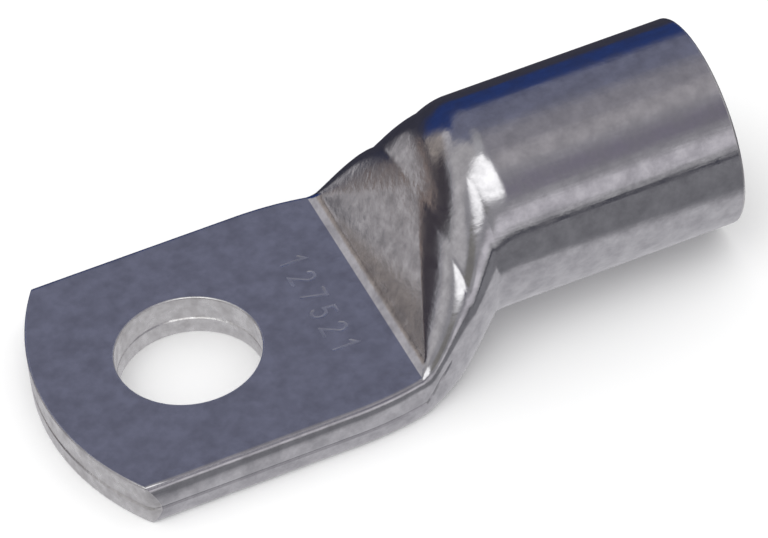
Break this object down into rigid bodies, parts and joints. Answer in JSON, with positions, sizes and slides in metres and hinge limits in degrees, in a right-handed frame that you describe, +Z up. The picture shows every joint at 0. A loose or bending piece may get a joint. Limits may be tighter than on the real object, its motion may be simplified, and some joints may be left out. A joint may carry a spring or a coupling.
{
  "type": "cable lug",
  "caption": "Tubular crimp cable lug: a round open barrel for a stranded conductor, pressed flat at the other end into a palm with a stud hole.",
  "frame": {"origin": "centre of the stud hole on the underside of the palm", "axes": "+X along the conductor bore towards the barrel's mouth, +Z up out of the palm along the stud hole, +Y across the palm"},
  "size_m": [0.051, 0.0228, 0.0155],
  "materials": {
    "tinned_copper": null
  },
  "bodies": {
    "root": {"cable_lug": "tinned_copper"}
  },
  "joints": []
}
